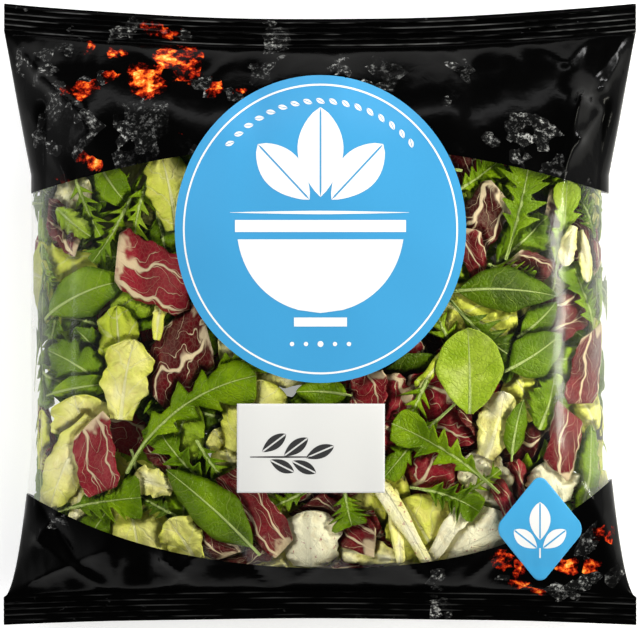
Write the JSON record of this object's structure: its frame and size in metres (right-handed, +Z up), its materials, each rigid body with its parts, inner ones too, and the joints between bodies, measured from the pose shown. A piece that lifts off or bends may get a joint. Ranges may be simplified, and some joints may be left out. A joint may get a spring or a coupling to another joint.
{
  "type": "bag of salad leaves",
  "caption": "Plump pillow bag of mixed salad leaves in clear film, ribbed crimp seals at both ends, black printed ends, a label and a diamond sticker; lies on its back.",
  "frame": {"origin": "on the surface that the bag lies on, under the middle of the bag", "axes": "+Z up, out of the printed front; +X to the right of the print; +Y towards the top seal"},
  "size_m": [0.261, 0.2566, 0.071],
  "materials": {
    "film": "clear glossy film over salad leaves",
    "label_paper": "smooth white paper",
    "sticker_blue": "plain blue, satin",
    "black_print": "black ink under glossy film",
    "blue_print": "blue ink under glossy film",
    "white_print": "white ink under glossy film",
    "green_leaf": "fresh green leaf",
    "pale_leaf": "pale yellow leaf heart",
    "red_leaf": "dark red leaf with cream veins"
  },
  "bodies": {
    "root": {"bag": "film", "label": "label_paper", "sticker": "sticker_blue"}
  },
  "joints": []
}
